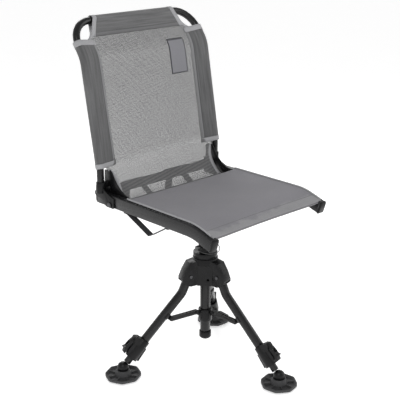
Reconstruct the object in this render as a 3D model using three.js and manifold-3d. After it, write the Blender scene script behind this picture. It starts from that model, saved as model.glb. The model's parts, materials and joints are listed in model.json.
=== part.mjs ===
// A swivelling hunting-blind chair: a sling seat on a central post with a
// three-legged folding base, telescopic lower legs and ball-jointed pads.
// Millimetres, +Z up, floor at z = 0. The sitter faces -Y, right hand towards -X.
import * as THREE from 'three';
import { mergeVertices } from 'three/addons/utils/BufferGeometryUtils.js';
import Module from 'manifold-3d';

const wasm = await Module();
wasm.setup();

// ---------------------------------------------------------------- driving dimensions
// The swivel axis is x = y = 0 while modelling; the finished chair is moved so that
// its origin is the bottom centre of its bounding box.
const ORIGIN_SHIFT = new THREE.Vector3(22.02, -5.2, 0);
const GAP = 0.3;
const SIDES = [['left', -1], ['right', 1]];

const LEG_COUNT = 3;
const FIRST_LEG_AZIMUTH = 39.9;
const LEG_SLOPE = THREE.MathUtils.degToRad(47.2);
const LEG_RADIUS = 12.7;
const LEG_WALL = 1.4;
const LEG_ROOM = LEG_RADIUS + 0.7;
const LOWER_LEG_RADIUS = 10.4;
const LOWER_LEG_WALL = 1.5;
const LEG_PIVOT = { r: 50, z: 275 };
const HINGE_BORE = 4.1;
const LEG_KNEE = { r: 71, z: 225 };
const FOOT_REACH = 264.5;
const CLAMP_START = 168;
const CLAMP_LENGTH = 62;
const LEVER_PIVOT = { s: CLAMP_START + 10, h: 24 };
const LOWER_LEG_START = 88;
const BALL_RADIUS = 16.5;
const PAD_RADIUS = 50;
const PAD_BASE_RADIUS = 37;
const PAD_CORNERS = 8;

const POST_RADIUS = 14.3;
const POST_BOTTOM = 79;
const POST_TOP = 262;
const COLLAR_RADIUS = 19.5;
const COLLAR_BOTTOM = 129;
const COLLAR_TOP = 165;
const COLLAR_PIVOT = { r: 29, z: 157.9 };
const BRACE_PIVOT = { r: 104.3, z: 151 };
const TONGUE_HALF = 1.75;
const BRACE_THICKNESS = 2.5;
const BRACE_HALF_HEIGHT = 6.5;

const HUB_BOTTOM = 246;
const HOOD_HALF = LEG_ROOM + 3.2;
const HUB_TOP = 324;
const BEARING_TOP = 327;
const SWIVEL_RADIUS = 34;
const SOCKET_TOP = 372;
const PLATE_Z = 452;
const LOCK_PIN_Z = 357;
const LOCK_PIN_RADIUS = 3.6;

const RAIL_OUTER_X = 215;
const RAIL_WIDTH = 22;
const RAIL_HEIGHT = 34;
const RAIL_TOP = 516.5;
const RAIL_REAR_Y = 202;
const RAIL_BEND_Y = -152;
const RAIL_BEND_RADIUS = 150;
const RAIL_BEND_ANGLE = 17.5;
const RAIL_NOSE_LENGTH = 42;
const CROSSBAR_Y = { front: -110, rear: 60 };
const CROSSBAR_RADIUS = 11;
const CROSSBAR_END_Z = 493;
const CROSSBAR_FLAT_HALF = 130;

const BACK_TUBE_RADIUS = 10;
const BACK_HALF_WIDTH = 215.6;
const BACK_FOOT = { y: 183, z: 524 };
const BACK_KNEE = { y: 183, z: 588 };
const BACK_BEND = { y: 233, z: 873 };
const BACK_TOP = { y: 295, z: 960 };
const BACK_CORNER_RADIUS = 66;
const BACK_PIVOT = { y: 143.6, z: 491 };
const YOKE_PLATE = 3;

const WEBBING = 2.5;
const STRAP_LOW_Z = 442;

const COLOURS = {
  frame: [0x39393b, 0.45, 0.75],
  casting: [0x27272a, 0.5, 0.35],
  plastic: [0x1d1d1f, 0.55, 0.0],
  steel: [0x9a9a9c, 0.35, 1.0],
  pad: [0x424244, 0.7, 0.0],
  seatFabric: [0x7b7a80, 0.9, 0.0],
  meshFabric: [0x8f8f90, 0.9, 0.0],
  sleeveFabric: [0x5f5f60, 0.9, 0.0],
  webbing: [0x202022, 0.85, 0.0],
};

// ---------------------------------------------------------------- solid helpers
const chair = new THREE.Group();
chair.position.copy(ORIGIN_SHIFT);

function place(name, colour, geometry, parent = chair) {
  const [color, roughness, metalness] = COLOURS[colour];
  const material = new THREE.MeshStandardMaterial({ color, roughness, metalness });
  const mesh = new THREE.Mesh(geometry, material);
  mesh.name = name;
  parent.add(mesh);
  return mesh;
}

function solidOf(geometry) {
  const bare = geometry.clone();
  bare.deleteAttribute('normal');
  bare.deleteAttribute('uv');
  const merged = mergeVertices(bare, 1e-4);
  return new wasm.Manifold(new wasm.Mesh({
    numProp: 3,
    vertProperties: new Float32Array(merged.attributes.position.array),
    triVerts: new Uint32Array(merged.index.array),
  }));
}

function geometryOf(solid) {
  const mesh = solid.getMesh();
  const geometry = new THREE.BufferGeometry();
  geometry.setAttribute('position', new THREE.BufferAttribute(mesh.vertProperties, 3));
  geometry.setIndex(new THREE.BufferAttribute(mesh.triVerts, 1));
  return geometry;
}

function join(first, ...rest) {
  return geometryOf(rest.reduce((sum, part) => sum.add(solidOf(part)), solidOf(first)));
}

function cut(first, ...rest) {
  return geometryOf(rest.reduce((sum, part) => sum.subtract(solidOf(part)), solidOf(first)));
}

function overlapOf(first, second) {
  return geometryOf(solidOf(first).intersect(solidOf(second)));
}

function box(x0, x1, y0, y1, z0, z1) {
  const geometry = new THREE.BoxGeometry(x1 - x0, y1 - y0, z1 - z0);
  return geometry.translate((x0 + x1) / 2, (y0 + y1) / 2, (z0 + z1) / 2);
}

// A solid of revolution about Z from a closed or axis-to-axis (radius, height) profile.
function turned(profile, segments = 24) {
  const points = profile.map(([r, z]) => new THREE.Vector2(r, z));
  return new THREE.LatheGeometry(points, segments).rotateX(Math.PI / 2);
}

function rodZ(radius, z0, z1, segments = 24) {
  return turned([[0, z0], [radius, z0], [radius, z1], [0, z1]], segments);
}

function rodX(radius, x0, x1, segments = 14) {
  return rodZ(radius, x0, x1, segments).rotateY(Math.PI / 2);
}

function rodY(radius, y0, y1, segments = 14) {
  return rodZ(radius, y0, y1, segments).rotateX(-Math.PI / 2);
}

function ringZ(inner, outer, z0, z1, segments = 24) {
  return turned([[inner, z0], [outer, z0], [outer, z1], [inner, z1], [inner, z0]], segments);
}

function shapeOf(points) {
  return new THREE.Shape(points.map(([x, y]) => new THREE.Vector2(x, y)));
}

function extruded(shape, depth, curveSegments = 5) {
  return new THREE.ExtrudeGeometry(shape, { depth, bevelEnabled: false, curveSegments });
}

// An outline in (y, z) given a thickness from x0 to x1.
function plateX(shape, x0, x1) {
  const basis = new THREE.Matrix4().makeBasis(
    new THREE.Vector3(0, 1, 0), new THREE.Vector3(0, 0, 1), new THREE.Vector3(1, 0, 0));
  return extruded(shape, x1 - x0).applyMatrix4(basis).translate(x0, 0, 0);
}

// An outline in (x, z) given a thickness from y0 to y1.
function plateY(shape, y0, y1) {
  return extruded(shape, y1 - y0).rotateX(Math.PI / 2).translate(0, y1, 0);
}

function capsuleOutline(a, b, radius) {
  const along = new THREE.Vector2(b[0] - a[0], b[1] - a[1]);
  const angle = along.angle();
  const shape = new THREE.Shape();
  shape.absarc(a[0], a[1], radius, angle + Math.PI / 2, angle + 1.5 * Math.PI, false);
  shape.absarc(b[0], b[1], radius, angle - Math.PI / 2, angle + Math.PI / 2, false);
  return shape;
}

// Corner points joined by straight stretches, each inner corner rounded to its radius.
function roundedPoints(corners, radii, stepDegrees = 15) {
  const points = [corners[0].clone()];
  for (let i = 1; i < corners.length - 1; i += 1) {
    const back = corners[i - 1].clone().sub(corners[i]).normalize();
    const ahead = corners[i + 1].clone().sub(corners[i]).normalize();
    const half = back.angleTo(ahead) / 2;
    const centre = back.clone().add(ahead).normalize()
      .multiplyScalar(radii[i - 1] / Math.sin(half)).add(corners[i]);
    const reach = radii[i - 1] / Math.tan(half);
    const from = corners[i].clone().addScaledVector(back, reach).sub(centre);
    const to = corners[i].clone().addScaledVector(ahead, reach).sub(centre);
    const sweep = from.angleTo(to);
    const arcSteps = Math.ceil(THREE.MathUtils.radToDeg(sweep) / stepDegrees);
    for (let k = 0; k <= arcSteps; k += 1) {
      const a = Math.sin(sweep * (1 - k / arcSteps)) / Math.sin(sweep);
      const b = Math.sin(sweep * k / arcSteps) / Math.sin(sweep);
      points.push(centre.clone().addScaledVector(from, a).addScaledVector(to, b));
    }
  }
  points.push(corners[corners.length - 1].clone());
  return points;
}

// A route through given points, sampled exactly at them, for swept sections. A flat route
// can name the direction across it: the section's y axis then stays along that direction.
class Route extends THREE.Curve {
  constructor(points, across) {
    super();
    this.points = points;
    this.across = across;
  }

  getPointAt(u) {
    return this.points[Math.round(u * (this.points.length - 1))].clone();
  }

  getTangentAt(u) {
    const i = Math.round(u * (this.points.length - 1));
    const ahead = this.points[Math.min(i + 1, this.points.length - 1)].clone();
    const here = this.points[i];
    const behind = this.points[Math.max(i - 1, 0)];
    const out = ahead.sub(here).normalize();
    const into = here.clone().sub(behind).normalize();
    return out.add(into).normalize();
  }

  computeFrenetFrames(segments, closed) {
    if (!this.across) {
      return super.computeFrenetFrames(segments, closed);
    }
    const tangents = this.points.map((_, i) => this.getTangentAt(i / segments));
    const normals = tangents.map((t) => this.across.clone().cross(t));
    const binormals = tangents.map(() => this.across.clone());
    return { tangents, normals, binormals };
  }
}

const ACROSS = new THREE.Vector3(1, 0, 0);

function swept(shape, points, across = null) {
  return new THREE.ExtrudeGeometry(shape, {
    steps: points.length - 1, extrudePath: new Route(points, across), bevelEnabled: false,
  });
}

function circlePoints(radius, sides) {
  return Array.from({ length: sides }, (_, i) => new THREE.Vector2(
    radius * Math.cos(2 * Math.PI * (i + 0.5) / sides),
    radius * Math.sin(2 * Math.PI * (i + 0.5) / sides)));
}

function tube(points, outer, inner, sides = 14, innerSides = 8) {
  const shape = new THREE.Shape(circlePoints(outer, sides));
  if (inner > 0) {
    shape.holes.push(new THREE.Path(circlePoints(inner, innerSides)));
  }
  return swept(shape, points);
}

// ---------------------------------------------------------------- centre column of the base
function hubCasting() {
  const core = ringZ(11.4, 36, HUB_BOTTOM, 307);
  const socket = rodZ(POST_RADIUS + GAP, HUB_BOTTOM - 1, POST_TOP + GAP);
  const flange = ringZ(11.4, 35.6, 306, HUB_TOP);
  const parts = [flange];
  const pockets = [socket];
  for (let k = 0; k < LEG_COUNT; k += 1) {
    const turn = THREE.MathUtils.degToRad(FIRST_LEG_AZIMUTH + 120 * k);
    const hood = shapeOf([
      [20, 248], [50, 246], [63, 250], [75, 261], [75, 270], [66, 292], [52, 315], [20, 322],
    ]);
    const hollow = shapeOf([
      [33, 200], [96, 200], [96, 257], [71.5, 267], [62.5, 290], [50, 306], [33, 306],
    ]);
    parts.push(plateY(hood, -HOOD_HALF, HOOD_HALF).rotateZ(turn));
    pockets.push(plateY(hollow, -LEG_ROOM, LEG_ROOM).rotateZ(turn));
    pockets.push(rodY(HINGE_BORE, -22, 22, 12).translate(LEG_PIVOT.r, 0, LEG_PIVOT.z).rotateZ(turn));
    const face = turn + Math.PI / 3;
    pockets.push(box(31, 40, -22, 22, 240, 305.8).rotateZ(face));
    pockets.push(rodX(4, 20, 40, 12).translate(0, 11, 264).rotateZ(face));
  }
  return cut(join(core, ...parts), ...pockets);
}

function postCap() {
  return turned([
    [0, 73], [13, 73], [17, 77], [17, 94], [POST_RADIUS + GAP, 94],
    [POST_RADIUS + GAP, POST_BOTTOM - GAP], [0, POST_BOTTOM - GAP],
  ]);
}

// The collar rides on the post and carries a flat lug with a cross pin for each brace.
function sliderCollar() {
  const bore = POST_RADIUS + 0.5;
  const sleeve = turned([
    [bore, COLLAR_BOTTOM], [COLLAR_RADIUS - 1, COLLAR_BOTTOM], [COLLAR_RADIUS, COLLAR_BOTTOM + 2],
    [COLLAR_RADIUS, COLLAR_TOP - 2], [COLLAR_RADIUS - 1, COLLAR_TOP], [bore, COLLAR_TOP],
    [bore, COLLAR_BOTTOM],
  ]);
  const pinReach = TONGUE_HALF + GAP + BRACE_THICKNESS + 1.6;
  const lugs = [];
  for (let k = 0; k < LEG_COUNT; k += 1) {
    const turn = THREE.MathUtils.degToRad(FIRST_LEG_AZIMUTH + 120 * k);
    const outline = capsuleOutline([14, 150], [COLLAR_PIVOT.r, COLLAR_PIVOT.z], BRACE_HALF_HEIGHT);
    lugs.push(plateY(outline, -TONGUE_HALF, TONGUE_HALF).rotateZ(turn));
    const pin = rodY(3, -pinReach, pinReach, 10);
    lugs.push(pin.translate(COLLAR_PIVOT.r, 0, COLLAR_PIVOT.z).rotateZ(turn));
  }
  const hole = rodZ(bore, COLLAR_BOTTOM - 5, COLLAR_TOP + 5);
  return cut(join(sleeve, ...lugs), hole);
}

// ---------------------------------------------------------------- one leg, in its radial plane
// Local +X is outwards from the post; the leg frame has +X down the leg and +Z above it.
function legPoint(distance, height = 0) {
  return new THREE.Vector3(
    LEG_KNEE.r + distance * Math.cos(LEG_SLOPE) + height * Math.sin(LEG_SLOPE), 0,
    LEG_KNEE.z - distance * Math.sin(LEG_SLOPE) + height * Math.cos(LEG_SLOPE));
}

function upperLegTube() {
  const pivot = new THREE.Vector3(LEG_PIVOT.r, 0, LEG_PIVOT.z);
  const knee = new THREE.Vector3(LEG_KNEE.r, 0, LEG_KNEE.z);
  const head = pivot.clone().add(pivot.clone().sub(knee).normalize().multiplyScalar(9));
  const points = roundedPoints([head, knee, legPoint(CLAMP_START + CLAMP_LENGTH - 5)], [45]);
  const body = tube(points, LEG_RADIUS, LEG_RADIUS - LEG_WALL, 14, 14);
  return cut(body, rodY(HINGE_BORE, -22, 22, 12).translate(pivot.x, 0, pivot.z));
}

function legHingePin() {
  const face = HOOD_HALF + GAP;
  const shank = rodY(3.8, -face - 0.1, face + 0.1, 12);
  const head = rodY(5, face, face + 1.4);
  const nut = rodY(5, -face - 1.4, -face);
  return join(shank, head, nut).translate(LEG_PIVOT.r, 0, LEG_PIVOT.z);
}

function braceBar(side) {
  const a = [COLLAR_PIVOT.r, COLLAR_PIVOT.z];
  const b = [BRACE_PIVOT.r, BRACE_PIVOT.z];
  const near = side * (TONGUE_HALF + GAP);
  const far = near + side * BRACE_THICKNESS;
  const bar = plateY(capsuleOutline(a, b, BRACE_HALF_HEIGHT), Math.min(near, far), Math.max(near, far));
  const tip = far + side * 3;
  const rivet = rodY(5, Math.min(near, tip), Math.max(near, tip), 12).translate(b[0], 0, b[1]);
  return cut(join(bar, rivet), rodY(3.25, -25, 25, 10).translate(a[0], 0, a[1]));
}

// A saddle under the leg whose tongue hangs down between the brace's two bars.
function braceBracket() {
  const offset = BRACE_PIVOT.z - LEG_KNEE.z;
  const reach = BRACE_PIVOT.r - LEG_KNEE.r;
  const station = reach * Math.cos(LEG_SLOPE) - offset * Math.sin(LEG_SLOPE);
  const depth = reach * Math.sin(LEG_SLOPE) + offset * Math.cos(LEG_SLOPE);
  const saddle = rodX(LEG_RADIUS + 1.6, station - 9, station + 9, 18);
  const upperHalf = box(station - 20, station + 20, -20, 20, 1, 20);
  const outline = capsuleOutline([station, 0], [station, depth], BRACE_HALF_HEIGHT);
  const tongue = plateY(outline, -TONGUE_HALF, TONGUE_HALF);
  const bore = rodX(LEG_RADIUS + GAP, station - 20, station + 20, 20);
  return cut(join(saddle, tongue), bore, upperHalf);
}

// The clamp is a sleeve that widens down the leg, with two cheeks for the lever's pin on top
// and a split jaw underneath.
function clampBody() {
  const end = CLAMP_START + CLAMP_LENGTH;
  const { s, h } = LEVER_PIVOT;
  const sleeve = turned([[0, CLAMP_START], [16.6, CLAMP_START], [18.6, end], [0, end]], 20)
    .rotateY(Math.PI / 2);
  const cheeks = plateY(shapeOf([
    [CLAMP_START + 1, 0], [CLAMP_START + 1, 22], [s - 3, h + 8], [s + 6, h + 8], [s + 13, 24], [s + 13, 0],
  ]), -12, 12);
  const spine = plateY(shapeOf([
    [s + 11, 0], [s + 11, 24.5], [s + 34, 26], [end - 4, 22], [end - 4, 0],
  ]), -9, 9);
  const jaw = plateY(shapeOf([
    [CLAMP_START + 14, 0], [CLAMP_START + 18, -19], [end - 3, -23], [end - 3, 0],
  ]), -8, 8);
  const leverRoom = box(CLAMP_START - 5, s + 12.5, -8.3, 8.3, 15, 40);
  const bore = rodX(LEG_ROOM - 0.2, CLAMP_START - 5, end - 4.6, 20);
  const throat = rodX(LOWER_LEG_RADIUS + GAP, end - 10, end + 5, 18);
  const kerf = box(CLAMP_START + 24, end - 8, -1, 1, -30, 0);
  const pin = rodY(3, -8.6, 8.6, 10).translate(s, 0, h);
  return join(cut(join(sleeve, cheeks, spine, jaw), leverRoom, bore, throat, kerf), pin);
}

// The lever's round cam end turns on the pin; its arched arm lies along the clamp and ends
// in a thumb tab.
function clampLever() {
  const { s, h } = LEVER_PIVOT;
  const arm = new THREE.Shape();
  arm.moveTo(s + 4, h - 6.9);
  arm.absarc(s, h, 8, -Math.PI / 3, 0.6 * Math.PI, true);
  arm.quadraticCurveTo(s + 12, 38.6, s + 33, 38);
  arm.lineTo(s + 38, 42.5);
  arm.lineTo(s + 40, 42);
  arm.lineTo(s + 39.5, 36);
  arm.lineTo(s + 50, 33);
  arm.lineTo(s + 51, 28);
  arm.quadraticCurveTo(s + 34, 31.5, s + 15, 29);
  arm.lineTo(s + 9, 25);
  const body = plateY(arm, -8, 8);
  const bore = rodY(3.3, -12, 12, 10).translate(s, 0, h);
  const window = box(s + 16, s + 28, -4.5, 4.5, 20, 50);
  return cut(body, bore, window);
}

function lowerLegTube() {
  const end = FOOT_REACH - BALL_RADIUS - 0.5;
  return cut(
    rodX(LOWER_LEG_RADIUS, LOWER_LEG_START, end, 16),
    rodX(LOWER_LEG_RADIUS - LOWER_LEG_WALL, LOWER_LEG_START - 1, end - 12, 12));
}

// A dished eight-sided pad with a raised rim, radial ribs and a ball cup in the middle.
function footPad(centre) {
  const corner = PAD_RADIUS + 2;
  const dish = turned([
    [0, 0], [PAD_BASE_RADIUS, 0], [corner, 5.5], [corner, 12], [corner - 2, 13],
    [corner - 5, 11.5], [corner - 10, 6], [0, 6],
  ], PAD_CORNERS);
  const rim = overlapOf(dish, rodZ(PAD_RADIUS, -1, 20, 32)).rotateZ(Math.PI / PAD_CORNERS);
  const cup = BALL_RADIUS + 0.5;
  const profile = [[0, 4], [25, 4], [25, 8], [19.5, 22], [17.6, 24]];
  const steps = 3;
  const lip = Math.asin((centre.z - 24) / cup);
  for (let i = 0; i <= steps; i += 1) {
    const angle = lip + (Math.PI / 2 - lip) * i / steps;
    profile.push([cup * Math.cos(angle), centre.z - cup * Math.sin(angle)]);
  }
  profile[profile.length - 1][0] = 0;
  const ribs = [];
  for (let i = 0; i < PAD_CORNERS; i += 1) {
    ribs.push(box(19, PAD_RADIUS - 5, -1.5, 1.5, 3, 11.5).rotateZ(i * 2 * Math.PI / PAD_CORNERS));
  }
  const bowl = new THREE.SphereGeometry(cup, 20, 12).translate(0, 0, centre.z);
  return cut(join(rim, turned(profile), ...ribs), bowl).translate(centre.x, 0, 0);
}

function buildLeg(k) {
  const radial = new THREE.Group();
  radial.rotation.z = THREE.MathUtils.degToRad(FIRST_LEG_AZIMUTH + 120 * k);
  chair.add(radial);
  const along = new THREE.Group();
  along.position.set(LEG_KNEE.r, 0, LEG_KNEE.z);
  along.rotation.y = LEG_SLOPE;
  radial.add(along);
  const tag = k + 1;
  const ball = legPoint(FOOT_REACH);
  place(`leg_upper_tube_${tag}`, 'frame', upperLegTube(), radial);
  place(`leg_hinge_pin_${tag}`, 'steel', legHingePin(), radial);
  place(`brace_bar_${tag}_near`, 'frame', braceBar(-1), radial);
  place(`brace_bar_${tag}_far`, 'frame', braceBar(1), radial);
  place(`brace_bracket_${tag}`, 'casting', braceBracket(), along);
  place(`clamp_body_${tag}`, 'plastic', clampBody(), along);
  place(`clamp_lever_${tag}`, 'plastic', clampLever(), along);
  place(`leg_lower_tube_${tag}`, 'frame', lowerLegTube(), along);
  const sphere = new THREE.SphereGeometry(BALL_RADIUS, 14, 8).translate(ball.x, 0, ball.z);
  place(`foot_ball_${tag}`, 'plastic', sphere, radial);
  place(`foot_pad_${tag}`, 'pad', footPad(ball), radial);
}

// ---------------------------------------------------------------- swivel and seat column
function swivelHead() {
  const ring = rodZ(SWIVEL_RADIUS, BEARING_TOP + GAP, 340);
  const spindle = rodZ(11, 268, 330, 20);
  const neck = rodZ(19, 338, SOCKET_TOP);
  const socket = rodZ(POST_RADIUS + GAP, 341, SOCKET_TOP + 5);
  const pinHole = rodX(LOCK_PIN_RADIUS + 0.5, -40, 40, 12).translate(0, 0, LOCK_PIN_Z);
  return cut(join(ring, spindle, neck), socket, pinHole);
}

function seatColumn() {
  const post = rodZ(POST_RADIUS, 341.5, PLATE_Z + 2);
  const plate = box(-48, 48, CROSSBAR_Y.front - 14, CROSSBAR_Y.rear + 14, PLATE_Z, PLATE_Z + 5);
  const gusset = shapeOf([[-40, PLATE_Z + 1], [40, PLATE_Z + 1], [14, PLATE_Z - 34], [-14, PLATE_Z - 34]]);
  const web = plateX(gusset, -2, 2);
  const bore = rodZ(POST_RADIUS - 2, 330, PLATE_Z - 40);
  const pinHole = rodX(LOCK_PIN_RADIUS + 0.5, -40, 40, 12).translate(0, 0, LOCK_PIN_Z);
  return cut(join(post, plate, web), bore, pinHole);
}

function lockPin() {
  const shank = rodX(LOCK_PIN_RADIUS, -26, 34, 12);
  const head = rodX(6.2, -34, -25, 12);
  return join(shank, head).translate(0, 0, LOCK_PIN_Z);
}

// A wire loop from the pin head round the front of the socket to the pin tip, low in front.
function lockPinRing() {
  const steps = 12;
  const points = [];
  for (let i = 0; i <= steps; i += 1) {
    const angle = Math.PI * (0.03 + 0.94 * i / steps);
    const radius = 38 + 3 * Math.sin(angle);
    points.push(new THREE.Vector3(
      radius * Math.cos(angle), -radius * Math.sin(angle), LOCK_PIN_Z - 13 * Math.sin(angle)));
  }
  return tube(points, 1.2, 0, 6);
}

// ---------------------------------------------------------------- seat frame
// Rail outline: u is outwards, v is up. A pocket under the top inner edge takes the sling's cord.
function railShape(grow = 0, hollow = true) {
  const u = RAIL_WIDTH / 2 + grow;
  const v = RAIL_HEIGHT / 2 + grow;
  const points = [
    [-u + 2, -v], [u - 3, -v], [u - 0.9, -v + 0.9], [u, -v + 3], [u, v - 4], [u - 1.2, v - 1.2],
    [u - 4, v], [-u + 3, v], [-u, v - 3],
  ];
  if (hollow) {
    points.push([-u, v - 4.8], [-u + 2.4, v - 4.8], [-u + 3.4, v - 3.2], [-u + 6.4, v - 3.2],
      [-u + 7.4, v - 6], [-u + 6.4, v - 8.8], [-u + 3.4, v - 8.8], [-u + 2.4, v - 7.2], [-u, v - 7.2]);
  }
  points.push([-u, -v + 2]);
  const shape = shapeOf(points);
  if (hollow) {
    shape.holes.push(new THREE.Path([[-8.4, -14.6], [-8.4, 5], [8.4, 5], [8.4, -14.6]]
      .map(([a, b]) => new THREE.Vector2(a, b))));
  }
  return shape;
}

// Side view of the rail's centre line: level, a bend, then a straight nose that slopes down.
function railLine(offset = 0, noseLength = RAIL_NOSE_LENGTH, arcSteps = 5) {
  const z = RAIL_TOP - RAIL_HEIGHT / 2;
  const points = [[RAIL_REAR_Y, z + offset]];
  for (let i = 0; i <= arcSteps; i += 1) {
    const angle = THREE.MathUtils.degToRad(RAIL_BEND_ANGLE * i / arcSteps);
    const radius = RAIL_BEND_RADIUS + offset;
    points.push([
      RAIL_BEND_Y - radius * Math.sin(angle),
      z - RAIL_BEND_RADIUS + radius * Math.cos(angle),
    ]);
  }
  const slope = THREE.MathUtils.degToRad(RAIL_BEND_ANGLE);
  const [y1, z1] = points[points.length - 1];
  points.push([y1 - noseLength * Math.cos(slope), z1 - noseLength * Math.sin(slope)]);
  return points;
}

// Sweeps an outline given as (outwards, up) along a side-view line at the rail's centre.
function alongRail(shape, side, line) {
  const x = side * (RAIL_OUTER_X - RAIL_WIDTH / 2);
  const points = line.map(([y, z]) => new THREE.Vector3(x, y, z));
  const turnedOutline = (path) => path.map((p) => new THREE.Vector2(-p.y, side * p.x));
  const result = new THREE.Shape(turnedOutline(shape.getPoints()));
  for (const hole of shape.holes) {
    result.holes.push(new THREE.Path(turnedOutline(hole.getPoints())));
  }
  return swept(result, points, ACROSS);
}

function seatRail(side) {
  const hole = rodX(4.4, -RAIL_OUTER_X - 10, RAIL_OUTER_X + 10, 12);
  return cut(alongRail(railShape(), side, railLine()), hole.translate(0, BACK_PIVOT.y, BACK_PIVOT.z));
}

const CAP_GAP = 0.6;

function frontCap(side) {
  const line = railLine();
  const [y, z] = line[line.length - 1];
  const angle = THREE.MathUtils.degToRad(RAIL_BEND_ANGLE);
  const ahead = (d) => [y - d * Math.cos(angle), z - d * Math.sin(angle)];
  const face = alongRail(railShape(0.6, false), side, [ahead(CAP_GAP), ahead(5)]);
  const nose = alongRail(railShape(-1.2, false), side, [ahead(4), ahead(7)]);
  const plug = box(-8, 8, -2, 12, -14, 4.4).rotateX(angle);
  const x = side * (RAIL_OUTER_X - RAIL_WIDTH / 2);
  return join(face, nose, plug.translate(x, ...ahead(CAP_GAP)));
}

function rearCap(side) {
  const x = side * (RAIL_OUTER_X - RAIL_WIDTH / 2);
  const z = RAIL_TOP - RAIL_HEIGHT / 2;
  const outline = new THREE.Shape();
  outline.moveTo(RAIL_REAR_Y - 8, z - 16.6);
  outline.absarc(RAIL_REAR_Y - 4, z - 7, 9.6, -0.5 * Math.PI, 0, false);
  outline.absarc(RAIL_REAR_Y - 4, z + 5, 9.6, 0, 0.5 * Math.PI, false);
  outline.lineTo(RAIL_REAR_Y - 8, z + 14.6);
  const shell = overlapOf(
    plateX(outline, x - 10.6, x + 10.6),
    box(x - 12, x + 12, RAIL_REAR_Y + GAP, RAIL_REAR_Y + 20, z - 20, z + 20));
  const plug = box(x - 8, x + 8, RAIL_REAR_Y - 12, RAIL_REAR_Y + 2, z - 14, z + 4.4);
  return join(shell, plug);
}

function crossbar(y) {
  const reach = RAIL_OUTER_X - RAIL_WIDTH - GAP;
  const low = PLATE_Z + 5 + GAP + CROSSBAR_RADIUS;
  const half = [[reach, CROSSBAR_END_Z], [reach - 16, CROSSBAR_END_Z], [CROSSBAR_FLAT_HALF, low]];
  const mirror = half.map(([x, z]) => [-x, z]);
  const corners = [...mirror, ...half.reverse()].map(([x, z]) => new THREE.Vector3(x, y, z));
  return tube(roundedPoints(corners, [24, 40, 40, 24], 20), CROSSBAR_RADIUS, CROSSBAR_RADIUS - 2, 12);
}

const SLING_REAR_HALF = 182;

// The sling is a thin sheet in the rails' cord pockets, narrower where the yokes fold down
// beside it.
function seatSling() {
  const half = RAIL_OUTER_X - RAIL_WIDTH - 0.8;
  const besideYoke = half - 6;
  const slot = RAIL_HEIGHT / 2 - 6;
  const front = railLine(slot, RAIL_NOSE_LENGTH - 6).slice(1);
  const line = [[128, 497], [110, 503], [84, RAIL_TOP - 6], ...front];
  const upper = line.map(([y, z]) => [y, z + 1.4]);
  const lower = line.map(([y, z]) => [y, z - 1.4]).reverse();
  const sheet = plateX(shapeOf([...upper, ...lower]), -half, half);
  const frontY = front[front.length - 1][0];
  const outline = new THREE.Shape();
  outline.moveTo(-half, frontY);
  outline.quadraticCurveTo(0, frontY + 24, half, frontY);
  outline.lineTo(half, 46);
  outline.lineTo(besideYoke, 54);
  outline.lineTo(besideYoke, 84);
  outline.lineTo(SLING_REAR_HALF, 130);
  outline.lineTo(-SLING_REAR_HALF, 130);
  outline.lineTo(-besideYoke, 84);
  outline.lineTo(-besideYoke, 54);
  outline.lineTo(-half, 46);
  const plan = extruded(outline, 200, 8).translate(0, 0, 400);
  return overlapOf(sheet, plan);
}

// A webbing handle that hangs in a V under the right-hand rail.
function carryStrap() {
  const x = -(RAIL_OUTER_X - RAIL_WIDTH / 2);
  const top = RAIL_TOP - RAIL_HEIGHT - GAP - WEBBING / 2;
  const corners = [[92, top], [80, top], [-8, STRAP_LOW_Z], [-72, top], [-84, top]]
    .map(([y, z]) => new THREE.Vector3(x, y, z));
  const strip = shapeOf([[-WEBBING / 2, -9], [WEBBING / 2, -9], [WEBBING / 2, 9], [-WEBBING / 2, 9]]);
  return swept(strip, roundedPoints(corners, [14, 10, 14]), ACROSS);
}

function pivotBolt(side) {
  const { y, z } = BACK_PIVOT;
  const near = side * (RAIL_OUTER_X + GAP + YOKE_PLATE + GAP);
  const far = side * (RAIL_OUTER_X - RAIL_WIDTH - GAP - YOKE_PLATE - GAP);
  const shank = rodX(4, Math.min(near, far) - 0.1, Math.max(near, far) + 0.1, 12);
  const head = rodX(7, Math.min(near, near + side * 3), Math.max(near, near + side * 3));
  const nut = rodX(7, Math.min(far, far - side * 5), Math.max(far, far - side * 5), 6);
  return join(shank, head, nut).translate(0, y, z);
}

// ---------------------------------------------------------------- folding back
function backSide(side) {
  return [BACK_FOOT, BACK_KNEE, BACK_BEND, BACK_TOP]
    .map(({ y, z }) => new THREE.Vector3(side * BACK_HALF_WIDTH, y, z));
}

function backFrameTube() {
  const corners = [...backSide(-1), ...backSide(1).reverse()];
  const radii = [120, 80, BACK_CORNER_RADIUS, BACK_CORNER_RADIUS, 80, 120];
  return tube(roundedPoints(corners, radii), BACK_TUBE_RADIUS, BACK_TUBE_RADIUS - 1.3);
}

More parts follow.
